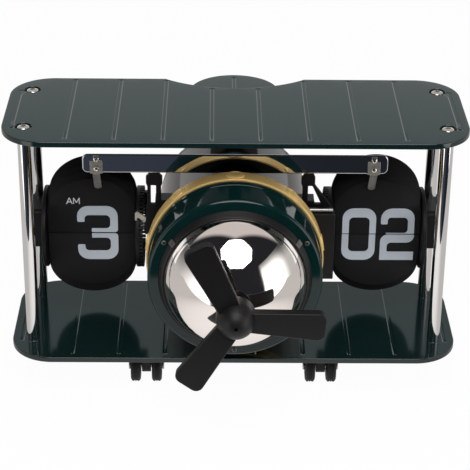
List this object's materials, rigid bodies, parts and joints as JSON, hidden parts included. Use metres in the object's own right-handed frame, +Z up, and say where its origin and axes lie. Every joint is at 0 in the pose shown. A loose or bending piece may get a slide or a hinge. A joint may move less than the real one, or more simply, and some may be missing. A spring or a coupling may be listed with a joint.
{
  "type": "biplane flip clock",
  "caption": "Desk flip clock shaped like a biplane: wing plates on struts, a propeller on a domed nose, and flip cards for hours and minutes beside the fuselage.",
  "frame": {"origin": "on the table, under the middle of the four struts", "axes": "+X along the wings to the viewer's right, +Y from the propeller to the tail, +Z up"},
  "size_m": [0.21, 0.1694, 0.1303],
  "materials": {
    "wing_paint": "dark green gloss lacquer with a sky sheen",
    "cowl_paint": "dark green gloss lacquer",
    "strut_chrome": "polished",
    "dome_chrome": "polished, warm tint",
    "rail_chrome": "polished like a mirror",
    "screw_steel": "plated",
    "spring_steel": "bright spring strip",
    "shaft_steel": "turned",
    "band_brass": "satin",
    "bush_brass": "turned",
    "bezel_grey": "satin dark grey",
    "barrel_black": "gloss black",
    "bracket_black": "satin black",
    "drum_black": "satin black",
    "card_black": "matt black with printed numbers",
    "propeller_black": "satin black",
    "wheel_rubber": "matt black",
    "knob_black": "satin black",
    "motor_steel": "plated can",
    "cell_wrap": "printed sleeve, plain"
  },
  "bodies": {
    "airframe": {"lower_wing": "wing_paint", "upper_wing": "wing_paint", "tail_boom": "wing_paint", "tailplane": "wing_paint", "engine_cowl": "cowl_paint", "front_struts": "strut_chrome", "rear_struts": "strut_chrome", "nose_dome": "dome_chrome", "card_rail": "rail_chrome", "strut_screws": "screw_steel", "strut_washers": "screw_steel", "under_wing_screws": "screw_steel", "bezel_screws": "screw_steel", "rear_screws": "screw_steel", "rail_screws": "screw_steel", "bezel_clips": "spring_steel", "hour_leaf_spring": "spring_steel", "minute_leaf_spring": "spring_steel", "hour_detent": "spring_steel", "wheel_axles": "shaft_steel", "drive_rod": "shaft_steel", "brass_band": "band_brass", "propeller_bush": "bush_brass", "barrel_bushes": "bush_brass", "bezel_ring": "bezel_grey", "fuselage_barrel": "barrel_black", "rear_cover": "barrel_black", "saddle": "bracket_black", "rail_bracket_left": "bracket_black", "rail_bracket_right": "bracket_black", "bearing_block_left": "bracket_black", "bearing_block_right": "bracket_black", "drive_box": "bracket_black", "wheel_legs": "bracket_black", "battery_cradle": "bracket_black", "hour_upper_cards": "card_black", "hour_lower_cards": "card_black", "minute_upper_cards": "card_black", "minute_lower_cards": "card_black", "drive_motor": "motor_steel", "battery_cell": "cell_wrap"},
    "propeller": {"propeller": "propeller_black", "propeller_shaft": "shaft_steel", "propeller_clip": "shaft_steel"},
    "front_left_wheels": {"front_left_wheels": "wheel_rubber"},
    "front_right_wheels": {"front_right_wheels": "wheel_rubber"},
    "rear_left_wheels": {"rear_left_wheels": "wheel_rubber"},
    "rear_right_wheels": {"rear_right_wheels": "wheel_rubber"},
    "minute_train": {"minute_drum": "drum_black", "cross_shaft": "shaft_steel", "shaft_gear": "bush_brass", "carry_finger": "shaft_steel"},
    "hour_train": {"hour_drum": "drum_black"},
    "motor_shaft": {"motor_pinion": "bush_brass"},
    "setting_knob": {"time_knob": "knob_black", "setting_wheel": "wheel_rubber"},
    "hour_card": {"hour_flap": "card_black"},
    "minute_card": {"minute_flap": "card_black"},
    "battery_cap": {"battery_cap": "knob_black"}
  },
  "joints": [
    {"name": "propeller_spin", "type": "hinge", "parent": "airframe", "child": "propeller", "pos_m": [0, -0.08265, 0.066], "axis": [0, 1, 0], "continuous": true},
    {"name": "front_left_wheels_roll", "type": "hinge", "parent": "airframe", "child": "front_left_wheels", "pos_m": [-0.0415, -0.024, 0.008], "axis": [1, 0, 0], "continuous": true},
    {"name": "front_right_wheels_roll", "type": "hinge", "parent": "airframe", "child": "front_right_wheels", "pos_m": [0.0415, -0.024, 0.008], "axis": [1, 0, 0], "continuous": true},
    {"name": "rear_left_wheels_roll", "type": "hinge", "parent": "airframe", "child": "rear_left_wheels", "pos_m": [-0.0415, 0.022, 0.008], "axis": [1, 0, 0], "continuous": true},
    {"name": "rear_right_wheels_roll", "type": "hinge", "parent": "airframe", "child": "rear_right_wheels", "pos_m": [0.0415, 0.022, 0.008], "axis": [1, 0, 0], "continuous": true},
    {"name": "minute_drum_turn", "type": "hinge", "parent": "airframe", "child": "minute_train", "pos_m": [0, 0.0077, 0.066], "axis": [1, 0, 0], "continuous": true},
    {"name": "hour_drum_turn", "type": "hinge", "parent": "airframe", "child": "hour_train", "pos_m": [0, 0.0077, 0.066], "axis": [1, 0, 0], "continuous": true},
    {"name": "motor_turn", "type": "hinge", "parent": "airframe", "child": "motor_shaft", "pos_m": [0, -0.00724, 0.08094], "axis": [1, 0, 0], "continuous": true},
    {"name": "time_knob_turn", "type": "hinge", "parent": "airframe", "child": "setting_knob", "pos_m": [0.01546, 0.04, 0.066], "axis": [0, 1, 0], "continuous": true},
    {"name": "hour_card_fall", "type": "hinge", "parent": "airframe", "child": "hour_card", "pos_m": [-0.0674, -0.00221, 0.06731], "axis": [1, 0, 0], "range_deg": [0, 177.5], "deforming": ["hour_leaf_spring"]},
    {"name": "minute_card_fall", "type": "hinge", "parent": "airframe", "child": "minute_card", "pos_m": [0.0674, -0.00221, 0.06731], "axis": [1, 0, 0], "range_deg": [0, 177.5], "deforming": ["minute_leaf_spring"]},
    {"name": "battery_cap_turn", "type": "hinge", "parent": "airframe", "child": "battery_cap", "pos_m": [0, 0.039, 0.046], "axis": [0, 1, 0], "range_deg": [0, 45]}
  ],
  "couplings": [
    {"joint": "hour_drum_turn", "follows": "minute_drum_turn", "ratio": 0.041667},
    {"joint": "motor_turn", "follows": "minute_drum_turn", "ratio": -3.3333},
    {"joint": "time_knob_turn", "follows": "minute_drum_turn", "ratio": -2}
  ]
}
